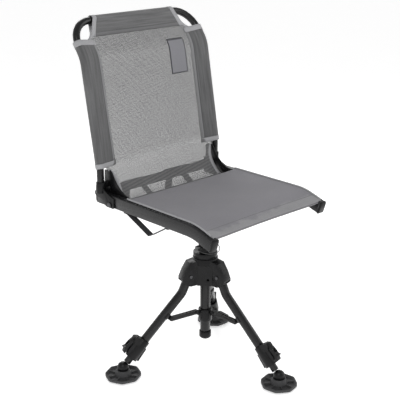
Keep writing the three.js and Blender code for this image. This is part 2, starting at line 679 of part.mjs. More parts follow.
// The yoke straddles the rail's rear end. Its bridge rests on the rail as the recline stop,
// its socket holds the back tube and both cheeks turn on the pivot bolt.
function hingeYoke(side) {
  const { y, z } = BACK_PIVOT;
  const railTop = RAIL_TOP + GAP;
  const outerCheek = new THREE.Shape();
  outerCheek.moveTo(127.5, 486);
  outerCheek.quadraticCurveTo(128, 482.6, 132, 482.6);
  outerCheek.lineTo(156, 482.6);
  outerCheek.quadraticCurveTo(166, 484, 176, 499);
  outerCheek.lineTo(196, 503);
  outerCheek.absarc(198, 512, 9, -0.5 * Math.PI, 0.4 * Math.PI, false);
  outerCheek.lineTo(196, 534);
  outerCheek.lineTo(174, 534);
  outerCheek.quadraticCurveTo(166, 522, 127.5, 511);
  const innerCheek = new THREE.Shape();
  innerCheek.moveTo(93.5, 509);
  innerCheek.lineTo(93.5, 516);
  innerCheek.quadraticCurveTo(139, 524, 164, 572);
  innerCheek.lineTo(174, 578);
  innerCheek.lineTo(194, 574);
  innerCheek.lineTo(196, 530);
  innerCheek.absarc(198, 514, 9, 0.4 * Math.PI, -0.5 * Math.PI, true);
  innerCheek.lineTo(172, 499);
  innerCheek.quadraticCurveTo(162, 483, 150, 482.6);
  innerCheek.lineTo(138, 482.6);
  innerCheek.quadraticCurveTo(130, 484, 126, 494);
  innerCheek.quadraticCurveTo(112, 503, 93.5, 509);
  const outerX = RAIL_OUTER_X + GAP;
  const innerX = RAIL_OUTER_X - RAIL_WIDTH - GAP;
  const outer = plateX(outerCheek, outerX, outerX + YOKE_PLATE);
  const inner = plateX(innerCheek, innerX - YOKE_PLATE, innerX);
  const bridge = box(innerX - 1, outerX + 1, 171.5, 205, railTop, 532);
  const bore = BACK_TUBE_RADIUS + GAP;
  const socket = rodZ(12.6, railTop, 546, 20).translate(BACK_HALF_WIDTH, BACK_FOOT.y, 0);
  const brace = box(innerX - 1, BACK_HALF_WIDTH, 180, 188, 530, 545);
  const room = rodZ(bore + 0.2, BACK_FOOT.z - GAP, 600, 20).translate(BACK_HALF_WIDTH, BACK_FOOT.y, 0);
  const pivotHole = rodX(4.3, 150, 260, 12).translate(0, y, z);
  const solid = cut(join(outer, inner, bridge, socket, brace), room, pivotHole);
  if (side > 0) {
    return solid;
  }
  return mirrored(solid);
}

function mirrored(geometry) {
  const flipped = geometry.clone().applyMatrix4(new THREE.Matrix4().makeScale(-1, 1, 1));
  const index = flipped.index.array;
  for (let i = 0; i < index.length; i += 3) {
    [index[i], index[i + 1]] = [index[i + 1], index[i]];
  }
  return flipped;
}

// Sleeve section: a tunnel round the tube with a doubled flap towards the panel.
function sleeveShape(flap, direction) {
  const outer = BACK_TUBE_RADIUS + 2;
  const half = 1.4;
  const dip = Math.asin(half / outer);
  const shape = new THREE.Shape();
  shape.absarc(0, 0, outer, dip, 2 * Math.PI - dip, false);
  shape.lineTo(flap, -half);
  shape.lineTo(flap, half);
  const tunnel = new THREE.Path().absarc(0, 0, BACK_TUBE_RADIUS + 0.6, 0, 2 * Math.PI, true);
  const placed = (path) => path.getPoints(7).map((p) => direction(p.x, p.y));
  const result = new THREE.Shape(placed(shape));
  result.holes.push(new THREE.Path(placed(tunnel)));
  return result;
}

// A point on the back's side line at a given height.
function backLine(z) {
  const [low, high] = z < BACK_BEND.z ? [BACK_KNEE, BACK_BEND] : [BACK_BEND, BACK_TOP];
  const share = (z - low.z) / (high.z - low.z);
  return low.y + share * (high.y - low.y);
}

const SLEEVE_LOW = 596;
const SLEEVE_HIGH = 908;
const PANEL_HALF = 163;
const TOP_FLAP = 48;
const TOP_SLEEVE_HALF = 148;

function sideSleeve(side) {
  const x = side * BACK_HALF_WIDTH;
  const corners = [SLEEVE_LOW, BACK_BEND.z, SLEEVE_HIGH].map((z) => new THREE.Vector3(x, backLine(z), z));
  const flap = BACK_HALF_WIDTH - PANEL_HALF - 1;
  const shape = sleeveShape(flap, (a, b) => new THREE.Vector2(b, -side * a));
  return swept(shape, roundedPoints(corners, [80]), ACROSS);
}

function topSleeve() {
  const up = new THREE.Vector2(BACK_TOP.y - BACK_BEND.y, BACK_TOP.z - BACK_BEND.z);
  const turn = up.angle() + Math.PI;
  const shape = sleeveShape(TOP_FLAP, (a, b) => new THREE.Vector2(
    a * Math.cos(turn) - b * Math.sin(turn), a * Math.sin(turn) + b * Math.cos(turn)));
  return plateX(shape, -TOP_SLEEVE_HALF, TOP_SLEEVE_HALF).translate(0, BACK_TOP.y, BACK_TOP.z);
}

function backPanel() {
  const line = [[163, 546], [168, 556], [178, 586], [backLine(620) - 2, 620]];
  const corners = [
    new THREE.Vector3(0, backLine(620) - 2, 620),
    new THREE.Vector3(0, BACK_BEND.y - 2, BACK_BEND.z),
    new THREE.Vector3(0, backLine(918) - 2, 918),
  ];
  line.push(...roundedPoints(corners, [80]).slice(1).map((p) => [p.y, p.z]));
  const front = line.map(([y, z]) => [y - 1.3, z]);
  const rear = line.map(([y, z]) => [y + 1.3, z]).reverse();
  const sheet = plateX(shapeOf([...front, ...rear]), -200, 200);
  const outline = shapeOf([
    [-178, 540], [178, 540], [184, 584], [184, 592], [PANEL_HALF, 594], [PANEL_HALF, 930],
    [-PANEL_HALF, 930], [-PANEL_HALF, 594], [-184, 592], [-184, 584],
  ]);
  return overlapOf(sheet, plateY(outline, 100, 400));
}

function lumbarStrap() {
  const reach = RAIL_OUTER_X - RAIL_WIDTH - GAP - YOKE_PLATE - GAP;
  return box(-reach, reach, 171, 171 + WEBBING, 508, 536);
}

// ---------------------------------------------------------------- assembly
place('hub_casting', 'casting', hubCasting());
place('post_tube', 'frame', ringZ(POST_RADIUS - 2, POST_RADIUS, POST_BOTTOM, POST_TOP));
place('post_cap', 'plastic', postCap());
place('slider_collar', 'casting', sliderCollar());
place('swivel_bearing', 'plastic', ringZ(12, 33, HUB_TOP + GAP, BEARING_TOP));
for (let k = 0; k < LEG_COUNT; k += 1) {
  buildLeg(k);
}
place('swivel_head', 'casting', swivelHead());
place('seat_column', 'frame', seatColumn());
place('lock_pin', 'steel', lockPin());
place('lock_pin_ring', 'steel', lockPinRing());
place('crossbar_front', 'frame', crossbar(CROSSBAR_Y.front));
place('crossbar_rear', 'frame', crossbar(CROSSBAR_Y.rear));
for (const [name, side] of SIDES) {
  place(`seat_rail_${name}`, 'frame', seatRail(side));
  place(`rail_front_cap_${name}`, 'plastic', frontCap(side));
  place(`rail_rear_cap_${name}`, 'plastic', rearCap(side));
  place(`back_pivot_bolt_${name}`, 'steel', pivotBolt(side));
  place(`hinge_yoke_${name}`, 'casting', hingeYoke(side));
  place(`back_sleeve_${name}`, 'sleeveFabric', sideSleeve(side));
}
place('seat_sling', 'seatFabric', seatSling());
place('carry_strap', 'webbing', carryStrap());
place('back_frame_tube', 'frame', backFrameTube());
place('back_sleeve_top', 'sleeveFabric', topSleeve());
place('back_panel', 'meshFabric', backPanel());
place('lumbar_strap', 'webbing', lumbarStrap());

export default chair;
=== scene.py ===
import json
import math

import bpy
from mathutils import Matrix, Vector, noise


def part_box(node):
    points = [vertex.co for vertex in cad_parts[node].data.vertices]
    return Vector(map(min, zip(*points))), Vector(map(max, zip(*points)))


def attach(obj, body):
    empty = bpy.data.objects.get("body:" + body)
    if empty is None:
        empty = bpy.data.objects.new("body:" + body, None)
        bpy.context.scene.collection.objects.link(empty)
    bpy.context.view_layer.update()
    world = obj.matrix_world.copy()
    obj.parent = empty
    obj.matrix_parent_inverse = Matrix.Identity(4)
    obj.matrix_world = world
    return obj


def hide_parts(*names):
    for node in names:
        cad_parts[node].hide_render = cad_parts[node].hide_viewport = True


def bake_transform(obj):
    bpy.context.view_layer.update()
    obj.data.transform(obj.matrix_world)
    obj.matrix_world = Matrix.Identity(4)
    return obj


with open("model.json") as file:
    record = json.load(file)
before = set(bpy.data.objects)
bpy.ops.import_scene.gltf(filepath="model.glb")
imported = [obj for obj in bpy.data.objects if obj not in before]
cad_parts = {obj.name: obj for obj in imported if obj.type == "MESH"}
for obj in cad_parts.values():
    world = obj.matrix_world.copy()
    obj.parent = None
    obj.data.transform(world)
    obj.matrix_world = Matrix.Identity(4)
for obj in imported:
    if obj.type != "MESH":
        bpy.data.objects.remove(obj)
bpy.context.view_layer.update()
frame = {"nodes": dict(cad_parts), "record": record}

# ---------------------------------------------------------------- frame sizes
# The CAD is laid out about the swivel axis in millimetres; AXIS is where that axis stands.
POST_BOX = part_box("post_tube")
AXIS = Vector(((POST_BOX[0][0] + POST_BOX[1][0]) / 2, (POST_BOX[0][1] + POST_BOX[1][1]) / 2, 0))
TUBE_X = 215.6
BACK_KNEE = (183.0, 588.0)
BACK_BEND = (233.0, 873.0)
BACK_TOP = (295.0, 960.0)
BACK_SLOPE_LENGTH = 106.8
RAIL_TOP = 516.5
RAIL_BEND_Y = -152.0
RAIL_BEND_RADIUS = 167.0
RAIL_SLOPE = math.radians(17.5)
SLING_EDGE = 205.0
SLING_FRONT = -233.0
SLING_REAR = 125.0
JUNCTION_Z = 497.0
FLAP_X = 163.0
SLEEVE_LOW = 584.0
SLEEVE_HIGH = 913.0
BAND = 12.0
TOP_HALF = 145.0
TOP_FLARE = 0.155
TOP_FLAP = 48.3
SLEEVE_REACH = TUBE_X - FLAP_X
SLEEVE_RADIUS = 11.9
SIDE_SWELL = 0.9
TOP_SWELL = 1.2
BAND_RADIUS = 12.7
BAND_SWELL = 0.3
BAND_OVERLAP = 1
BAND_STANDOUT = 1.5
BAND_PITCH = 4.0
JUNCTION_Y = 125
JUNCTION_HALF = 184
LUMBAR_HALF = 187
STRAP_X = -204.0
PATCH_SIZE = (0.060, 0.098)
BACK_SIDES = (("left", -1), ("right", 1))


def at(x, y, z):
    """A point given in millimetres from the swivel axis, in the row frame's metres."""
    return Vector((x, y, z)) / 1000 + AXIS


def lerp(a, b, t):
    return a + (b - a) * t


def table(points, x):
    """Smooth interpolation through (x, y) points."""
    for (x0, y0), (x1, y1) in zip(points, points[1:]):
        if x <= x1 or (x1, y1) == points[-1]:
            t = min(max((x - x0) / (x1 - x0), 0), 1)
            return lerp(y0, y1, t)


def ripple(x, y, z=0.0):
    """Repeatable soft noise from -1 to 1."""
    return noise.noise(Vector((x, y, z)))


# ---------------------------------------------------------------- camera and studio
def build_camera():
    camera = bpy.data.objects.new("Camera", bpy.data.cameras.new("Camera"))
    bpy.context.scene.collection.objects.link(camera)
    camera.location = at(-1629.5, -1677.3, 1288.6)
    azimuth, elevation = math.radians(-43.81), math.radians(18.88)
    look = Vector((-math.sin(azimuth) * math.cos(elevation),
                   math.cos(azimuth) * math.cos(elevation), -math.sin(elevation)))
    camera.rotation_euler = look.to_track_quat("-Z", "Y").to_euler()
    camera.data.sensor_width = 36
    camera.data.lens = 81.4
    bpy.context.scene.camera = camera


def area_light(name, place, target, size, power):
    light = bpy.data.objects.new(name, bpy.data.lights.new(name, "AREA"))
    light.data.shape = "RECTANGLE"
    light.data.size, light.data.size_y = size
    light.data.energy = power
    light.location = place
    light.rotation_euler = (Vector(target) - Vector(place)).to_track_quat("-Z", "Y").to_euler()
    bpy.context.scene.collection.objects.link(light)


def build_studio():
    world = bpy.data.worlds.new("Studio")
    bpy.context.scene.world = world
    world.use_nodes = True
    tree = world.node_tree
    direction = tree.nodes.new("ShaderNodeTexCoord")
    parts = tree.nodes.new("ShaderNodeSeparateXYZ")
    fade = tree.nodes.new("ShaderNodeMapRange")
    for socket, number in zip(("From Min", "From Max", "To Min", "To Max"), (0.22, 0.5, 1.0, 0.42)):
        fade.inputs[socket].default_value = number
    tree.links.new(direction.outputs["Generated"], parts.inputs["Vector"])
    tree.links.new(parts.outputs["Z"], fade.inputs["Value"])
    tree.links.new(fade.outputs["Result"], tree.nodes["Background"].inputs["Strength"])
    tree.nodes["Background"].inputs["Color"].default_value = (1, 1, 1, 1)
    bpy.context.scene.view_settings.view_transform = "Standard"
    area_light("key_light", (-1.6, -1.2, 2.6), (0, 0, 0.6), (1.6, 1.6), 34)
    area_light("fill_light", (1.9, -1.4, 1.6), (0, 0, 0.5), (1.2, 1.8), 10)
    area_light("rim_light", (1.2, 2.0, 2.2), (0, 0, 0.7), (1.4, 1.0), 22)
    floor = sheet_mesh("floor", [[Vector((x, y, 0)) for x in (-16, 16)] for y in (-16, 16)])
    paint = Shader("studio_floor")
    grain = paint.noise(3.0, 2)
    paint.colour(paint.mix(grain, (0.93, 0.93, 0.93), (0.96, 0.96, 0.96)))
    paint.value("Emission Color", (1, 1, 1, 1))
    paint.value("Emission Strength", 0.5)
    paint.value("Roughness", 0.9)
    paint.value("Specular IOR Level", 0.1)
    floor.data.materials.append(paint.material)


# ---------------------------------------------------------------- shaders
class Shader:
    """A node material built in small steps."""

    def __init__(self, name):
        self.material = bpy.data.materials.new(name)
        self.material.use_nodes = True
        self.tree = self.material.node_tree
        self.bsdf = self.tree.nodes["Principled BSDF"]
        self.bump = None

    def node(self, kind, **settings):
        made = self.tree.nodes.new(kind)
        for key, value in settings.items():
            setattr(made, key, value)
        return made

    def link(self, source, target):
        self.tree.links.new(source, target)

    def value(self, socket, number):
        self.bsdf.inputs[socket].default_value = number

    def colour(self, source):
        self.link(source, self.bsdf.inputs["Base Color"])

    def place(self, scale=(1, 1, 1)):
        """Object coordinates, stretched by a scale."""
        coordinates = self.node("ShaderNodeTexCoord")
        mapping = self.node("ShaderNodeMapping")
        mapping.inputs["Scale"].default_value = scale
        self.link(coordinates.outputs["Object"], mapping.inputs["Vector"])
        return mapping.outputs["Vector"]

    def noise(self, scale, detail=3, stretch=(1, 1, 1), vector=None):
        made = self.node("ShaderNodeTexNoise")
        made.inputs["Scale"].default_value = scale
        made.inputs["Detail"].default_value = detail
        self.link(vector or self.place(stretch), made.inputs["Vector"])
        return made.outputs["Fac"]

    def math(self, operation, a, b=0.0):
        made = self.node("ShaderNodeMath", operation=operation)
        for socket, item in zip(made.inputs, (a, b)):
            if isinstance(item, (int, float)):
                socket.default_value = item
            else:
                self.link(item, socket)
        return made.outputs[0]

    def span(self, source, low, high, to_low=0.0, to_high=1.0):
        """Maps low..high to to_low..to_high, held at both ends."""
        made = self.node("ShaderNodeMapRange")
        for socket, number in zip(("From Min", "From Max", "To Min", "To Max"),
                                  (low, high, to_low, to_high)):
            made.inputs[socket].default_value = number
        self.link(source, made.inputs["Value"])
        return made.outputs["Result"]

    def mix(self, share, a, b):
        made = self.node("ShaderNodeMix", data_type="RGBA")
        for socket, item in ((made.inputs[0], share), (made.inputs[6], a), (made.inputs[7], b)):
            if isinstance(item, (int, float)):
                socket.default_value = item
            elif isinstance(item, tuple):
                socket.default_value = (*item, 1)
            else:
                self.link(item, socket)
        return made.outputs[2]

    def uv(self):
        """The sheet's own coordinates: metres across and metres along."""
        source = self.node("ShaderNodeUVMap", uv_map="UVMap")
        parts = self.node("ShaderNodeSeparateXYZ")
        self.link(source.outputs["UV"], parts.inputs["Vector"])
        return parts.outputs["X"], parts.outputs["Y"]

    def wave(self, source, period):
        """A sine from -1 to 1 that repeats every period."""
        return self.math("SINE", self.math("MULTIPLY", source, 2 * math.pi / period))

    def emboss(self, height, strength, distance):
        made = self.node("ShaderNodeBump")
        made.inputs["Strength"].default_value = strength
        made.inputs["Distance"].default_value = distance
        self.link(height, made.inputs["Height"])
        if self.bump:
            self.link(self.bump, made.inputs["Normal"])
        self.bump = made.outputs["Normal"]
        self.link(self.bump, self.bsdf.inputs["Normal"])

    def edges(self, radius):
        """Near 1 on convex edges, 0 on flat faces."""
        rounded = self.node("ShaderNodeBevel", samples=4)
        rounded.inputs["Radius"].default_value = radius
        flat = self.node("ShaderNodeNewGeometry")
        product = self.node("ShaderNodeVectorMath", operation="DOT_PRODUCT")
        self.link(rounded.outputs["Normal"], product.inputs[0])
        self.link(flat.outputs["Normal"], product.inputs[1])
        return self.span(product.outputs["Value"], 0.995, 0.85)


def coated_metal(name, base, edge_colour, roughness, gloss=0.5, grain=900.0, edge_wear_and_highlight=0.5):
    """Powder coat: a fine pebbled grain, faint tone changes and lighter edges, from rubbed paint
    and, on the rail, a painted highlight.
    """
    made = Shader(name)
    made.value("Specular IOR Level", gloss)
    tone = made.noise(9.0, 4)
    # Lighter edges: rubbed paint on the frame, and on the rail a painted highlight along its top
    # edges.
    patch = made.math("MULTIPLY", made.edges(0.0014), made.span(made.noise(120.0, 4), 0.42, 0.62))
    deep = tuple(c * 0.78 for c in base)
    made.colour(made.mix(made.math("MULTIPLY", patch, edge_wear_and_highlight), made.mix(tone, deep, base), edge_colour))
    made.link(made.span(made.noise(60.0, 3), 0.3, 0.7, roughness - 0.07, roughness + 0.07),
              made.bsdf.inputs["Roughness"])
    made.emboss(made.noise(grain, 2), 0.25, 0.0003)
    return made.material


def moulded_plastic(name, base, edge_colour, roughness, grain=500.0):
    made = Shader(name)
    made.value("Specular IOR Level", 0.25)
    tone = made.noise(14.0, 3)
    patch = made.math("MULTIPLY", made.edges(0.001), made.span(made.noise(90.0, 3), 0.4, 0.7))
    made.colour(made.mix(made.math("MULTIPLY", patch, 0.6),
                         made.mix(tone, tuple(c * 0.8 for c in base), base), edge_colour))
    made.link(made.span(made.noise(45.0, 3), 0.3, 0.7, roughness - 0.06, roughness + 0.08),
              made.bsdf.inputs["Roughness"])
    made.emboss(made.noise(grain, 3), 0.35, 0.0004)
    return made.material


def zinc_steel(name, base, roughness):
    made = Shader(name)
    made.value("Metallic", 0.9)
    streak = made.noise(80.0, 4, (1, 1, 6))
    made.colour(made.mix(streak, tuple(c * 0.7 for c in base), base))
    made.link(made.span(streak, 0.3, 0.7, roughness - 0.08, roughness + 0.1),
              made.bsdf.inputs["Roughness"])
    made.emboss(made.noise(400.0, 2), 0.15, 0.0002)
    return made.material


def weave(made, period, depth):
    """Over-and-under threads: returns their height from 0 to 1 and embosses them."""
    u, v = made.uv()
    product = made.math("MULTIPLY", made.wave(u, period), made.wave(v, period))
    height = made.span(product, -1, 1)
    made.emboss(height, 0.6, depth)
    return height


def cloth_colour(made, base, height, contrast, wrinkle_shade=0.0):
    """Thread contrast, slow tone changes and, if asked, long streaks down the cloth that paint the
    shade of its wrinkles.
    """
    u, v = made.uv()
    dark = tuple(c * (1 - contrast) for c in base)
    light = tuple(min(c * (1 + contrast), 1) for c in base)
    tone = made.mix(height, dark, light)
    slow = made.span(made.noise(7.0, 3), 0.3, 0.7, 0.94, 1.06)
    if wrinkle_shade:
        flat = made.node("ShaderNodeCombineXYZ")
        made.link(made.math("MULTIPLY", u, 160.0), flat.inputs["X"])
        made.link(made.math("MULTIPLY", v, 9.0), flat.inputs["Y"])
        line = made.noise(1.0, 3, vector=flat.outputs["Vector"])
        slow = made.math("MULTIPLY", slow, made.span(line, 0.3, 0.7, 1 - wrinkle_shade, 1 + wrinkle_shade))
    scaled = made.node("ShaderNodeVectorMath", operation="SCALE")
    made.link(tone, scaled.inputs[0])
    made.link(slow, scaled.inputs["Scale"])
    return scaled.outputs["Vector"]


def stitches(made, across, along, offset, pitch=0.0042):
    """A row of stitches at one distance across the cloth."""
    away = made.math("ABSOLUTE", made.math("SUBTRACT", across, offset))
    near = made.span(away, 0.0006, 0.0011, 1, 0)
    dash = made.span(made.math("FRACT", made.math("DIVIDE", along, pitch)), 0.62, 0.7, 1, 0)
    return made.math("MULTIPLY", near, dash)


def finish_cloth(made, roughness=0.88, sheen=0.25):
    made.value("Roughness", roughness)
    made.value("Specular IOR Level", 0.25)
    made.value("Sheen Weight", sheen)
    made.value("Sheen Roughness", 0.5)
    return made.material


def plain_cloth(name, base, period=0.0022, contrast=0.16, depth=0.0004, wrinkle_shade=0.0):
    made = Shader(name)
    height = weave(made, period, depth)
    made.colour(cloth_colour(made, base, height, contrast, wrinkle_shade))
    return finish_cloth(made)


def mesh_cloth(name, base, period=0.0032):
    """Open mesh: round holes between crossing threads and a faint slanting rib."""
    made = Shader(name)
    u, v = made.uv()
    threads = made.math("MULTIPLY", made.wave(u, period), made.wave(v, period))
    slant = made.math("SUBTRACT", v, made.math("MULTIPLY", u, 0.16))
    rib = made.wave(slant, 0.0088)
    tone = cloth_colour(made, base, made.span(threads, -1, 1), 0.1)
    scaled = made.node("ShaderNodeVectorMath", operation="SCALE")
    made.link(tone, scaled.inputs[0])
    made.link(made.span(rib, -1, 1, 0.82, 1.18), scaled.inputs["Scale"])
    made.colour(scaled.outputs["Vector"])
    made.emboss(rib, 0.06, 0.0004)
    open_share = 0.63
    across = made.math("GREATER_THAN", made.math("ABSOLUTE", made.wave(u, 2 * period)), open_share)
    along = made.math("GREATER_THAN", made.math("ABSOLUTE", made.wave(v, 2 * period)), open_share)
    made.link(made.math("SUBTRACT", 1.0, made.math("MULTIPLY", across, along)),
              made.bsdf.inputs["Alpha"])
    return finish_cloth(made)


def sleeve_cloth(name, base, tape, girth):
    """Doubled mesh with a lighter seam tape and a row of stitches along both inner edges."""
    made = Shader(name)
    u, v = made.uv()
    height = weave(made, 0.0026, 0.0004)
    # Streaks down the sleeve are painted shade of its wrinkles.
    body = cloth_colour(made, base, height, 0.18, wrinkle_shade=0.26)
    inward = made.math("MINIMUM", u, made.math("SUBTRACT", girth, u))
    on_tape = made.span(inward, 0.0078, 0.0086, 1, 0)
    tinted = made.mix(on_tape, body, cloth_colour(made, tape, height, 0.15))
    thread = tuple(c * 0.5 for c in base)
    sewn = stitches(made, inward, v, 0.0105)
    made.colour(made.mix(sewn, tinted, thread))
    made.emboss(made.span(inward, 0.007, 0.009, 1, 0), 0.5, 0.0006)
    return finish_cloth(made)


def seat_cloth(name, base, front_highlight, length, hem_depth=0.040):
    """Close-woven sling cloth: a painted highlight as a lighter ragged band along the sloping
    front, a hem stitch line and a painted shade line under the front roll.
    """
    made = Shader(name)
    u, v = made.uv()
    height = weave(made, 0.0018, 0.0003)
    body = cloth_colour(made, base, height, 0.12)
    back = made.math("SUBTRACT", length, v)
    # Painted highlight: the seat's front, where it slopes down, is drawn lighter.
    ragged = made.math("ADD", back, made.math("MULTIPLY", made.noise(16.0, 3), 0.09))
    on_front_highlight = made.span(ragged, hem_depth + 0.036, hem_depth + 0.046, 0.75, 0)
    tinted = made.mix(on_front_highlight, body, cloth_colour(made, front_highlight, height, 0.1))
    dark = tuple(c * 0.5 for c in base)
    # Painted shade: a dark line along the bottom of the front roll.
    away = made.math("ABSOLUTE", made.math("SUBTRACT", back, 0.0085))
    fold_shade = made.math("MULTIPLY", made.span(away, 0.0012, 0.0026, 1, 0), 0.8)
    fold_shaded = made.mix(fold_shade, tinted, dark)
    made.colour(made.mix(stitches(made, back, u, hem_depth), fold_shaded, dark))
    return finish_cloth(made, sheen=0.15)


def patch_cloth(name):
    """A plain grey field inside a dark overlocked border."""
    made = Shader(name)
    u, v = made.uv()
    height = weave(made, 0.0016, 0.0003)
    edge = made.math("MINIMUM", *(
        made.math("MINIMUM", across, made.math("SUBTRACT", size, across))
        for across, size in zip((u, v), PATCH_SIZE)))
    border = made.span(edge, 0.0028, 0.0034, 1, 0)
    field = cloth_colour(made, (0.19, 0.19, 0.205), height, 0.12)
    made.colour(made.mix(border, field, (0.055, 0.055, 0.062)))
    made.emboss(border, 0.5, 0.0006)
    return finish_cloth(made)


# ---------------------------------------------------------------- sheet building
def sheet_mesh(name, rows):
    """Quads through rows of points; UVs hold metres across and metres along."""
    mesh = bpy.data.meshes.new(name)
    columns = len(rows[0])
    points = [p for row in rows for p in row]
    corners = [i * columns + j for i in range(len(rows) - 1) for j in range(columns - 1)]
    faces = [(c, c + 1, c + columns + 1, c + columns) for c in corners]
    mesh.from_pydata(points, [], faces)
    widest = max(rows, key=run_length)
    across = running(widest)
    middle = [row[columns // 2] for row in rows]
    along = running(middle)
    layer = mesh.uv_layers.new(name="UVMap")
    for loop in mesh.loops:
        i, j = divmod(loop.vertex_index, columns)
        layer.data[loop.index].uv = (across[j], along[i])
    mesh.shade_smooth()
    made = bpy.data.objects.new(name, mesh)
    bpy.context.scene.collection.objects.link(made)
    return made


def running(points):
    """Distance along a line of points, at each point."""
    total = [0.0]
    for a, b in zip(points, points[1:]):
        total.append(total[-1] + (b - a).length)
    return total


def run_length(points):
    return running(points)[-1]


def thicken(made, millimetres, offset=0.0):
    solid = made.modifiers.new("thickness", "SOLIDIFY")
    solid.thickness = millimetres / 1000
    solid.offset = offset
    solid.use_even_offset = False


def cloth_piece(name, rows, material, millimetres, body=None, offset=0.0):
    made = sheet_mesh(name, rows)
    made.data.materials.append(material)
    thicken(made, millimetres, offset)
    if body:
        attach(made, body)
    return made


def rounded_line(corners, radii, step=math.radians(6)):
    """Corner points joined by straight runs, each inner corner rounded to its radius."""
    points = [corners[0]]
    for before, corner, after, radius in zip(corners, corners[1:], corners[2:], radii):
        back, ahead = (before - corner).normalized(), (after - corner).normalized()
        half = back.angle(ahead) / 2
        centre = corner + (back + ahead).normalized() * (radius / math.sin(half))
        reach = radius / math.tan(half)
        start, end = corner + back * reach - centre, corner + ahead * reach - centre
        sweep = start.angle(end)
        steps = max(2, math.ceil(sweep / step))
        for i in range(steps + 1):
            part = sweep * i / steps
            turned = start * math.sin(sweep - part) + end * math.sin(part)
            points.append(centre + turned / math.sin(sweep))
    return points + [corners[-1]]


def resample(points, pitch):
    """Evenly spaced points and directions along a line."""
    distance = running(points)
    count = max(2, round(distance[-1] / pitch))
    result = []
    k = 0
    for i in range(count + 1):
        goal = distance[-1] * i / count
        while k < len(points) - 2 and distance[k + 1] < goal:
            k += 1
        span = distance[k + 1] - distance[k]
        t = min(max((goal - distance[k]) / span, 0), 1) if span else 0
        result.append((lerp(points[k], points[k + 1], t), (points[k + 1] - points[k]).normalized()))
    return result


# ---------------------------------------------------------------- CAD nodes
def soften(node):
    """Smooth round walls and a small bevel on the hard edges, as modifiers only."""
    node.data.shade_smooth()
    weld = node.modifiers.new("weld", "WELD")
    weld.merge_threshold = 0.00001
    bevel = node.modifiers.new("edge", "BEVEL")
    bevel.width = 0.0005
    bevel.segments = 2
    bevel.limit_method = "ANGLE"
    bevel.angle_limit = math.radians(33)
    bevel.harden_normals = True
    bevel.use_clamp_overlap = True


def finish_nodes():
    looks = {
        "frame_steel": coated_metal("powder_coat", (0.008, 0.008, 0.0085), (0.08, 0.08, 0.08),
                                    roughness=0.24, gloss=0.34),
        # The rail's light edge colour and high edge share paint a highlight along its top edges.
        "rail_aluminium": coated_metal("rail_coat", (0.009, 0.009, 0.010), (0.26, 0.26, 0.27),
                                       roughness=0.26, gloss=0.38, edge_wear_and_highlight=0.9),
        "casting": coated_metal("casting_coat", (0.005, 0.005, 0.0055), (0.05, 0.05, 0.05),
                                roughness=0.30, gloss=0.22, grain=500.0),
        "plastic": moulded_plastic("black_plastic", (0.004, 0.004, 0.0045), (0.03, 0.03, 0.03),
                                   roughness=0.36),
        "foot_rubber": moulded_plastic("foot_plastic", (0.050, 0.050, 0.052), (0.13, 0.13, 0.13),
                                       roughness=0.5, grain=260.0),
        "fastener": zinc_steel("dark_fastener", (0.10, 0.10, 0.105), 0.38),
        "pin_steel": zinc_steel("pin_wire", (0.13, 0.13, 0.13), 0.36),
    }
    for part in frame["record"]["subparts"]:
        node = frame["nodes"][part["node"]]
        if part["material_slot"] in looks:
            node.data.materials.clear()
            node.data.materials.append(looks[part["material_slot"]])
            soften(node)


# ---------------------------------------------------------------- back
def back_tube_line():
    """The side tube's centre line as (y, z), rounded at the bend."""
    corners = [Vector((0, *p)) for p in (BACK_KNEE, BACK_BEND, BACK_TOP)]
    return [Vector((p.y, p.z)) for p in rounded_line(corners, [80.0])]


TUBE_LINE = back_tube_line()


def tube_at(z):
    """Centre and direction of the side tube at a height, as (y, z) vectors."""
    for a, b in zip(TUBE_LINE, TUBE_LINE[1:]):
        if z <= b.y:
            return lerp(a, b, (z - a.y) / (b.y - a.y)), (b - a).normalized()
    return TUBE_LINE[-1], (TUBE_LINE[-1] - TUBE_LINE[-2]).normalized()


def teardrop(radius, reach, tip, steps=14, flat=6):
    """Half-closed loop round a tube drawn to an edge: (inwards, forwards) from tip to tip."""
    lean = math.acos((radius - tip) / reach)
    touch_in, touch_out = radius * math.cos(lean), radius * math.sin(lean)
    loop = []
    for i in range(flat):
        t = i / flat
        loop.append((lerp(reach, touch_in, t), lerp(tip, touch_out, t)))
    for i in range(steps + 1):
        angle = lerp(lean, 2 * math.pi - lean, i / steps)
        loop.append((radius * math.cos(angle), radius * math.sin(angle)))
    for i in range(1, flat + 1):
        t = i / flat
        loop.append((lerp(touch_in, reach, t), -lerp(touch_out, tip, t)))
    return loop


def side_rows(side, low, high, radius, reach, swell, pitch=6.0):
    """Rows of a side sleeve between two heights, with soft creases along it."""
    rows = []
    count = max(2, round((high - low) / pitch))
    for i in range(count + 1):
        z = lerp(low, high, i / count)
        centre, along = tube_at(z)
        row = []
        for k, (a, b) in enumerate(teardrop(radius, reach, 1.3)):
            crease = swell * (0.5 + 0.5 * ripple(k * 0.55, z / 95, side * 7.0))
            grow = 1 + crease / radius
            front = -b * grow
            row.append(at(side * (TUBE_X - a),
                          centre.x + front * along.y, centre.y - front * along.x))
        rows.append(row)
    return rows


def top_point(x, a, b):
    """A point of the top sleeve: a towards the seat along the back, b forwards of it."""
    down = (Vector(BACK_BEND) - Vector(BACK_TOP)).normalized()
    ahead = Vector((down.y, -down.x))
    spot = Vector(BACK_TOP) + down * a + ahead * b
    return at(x, spot.x, spot.y)


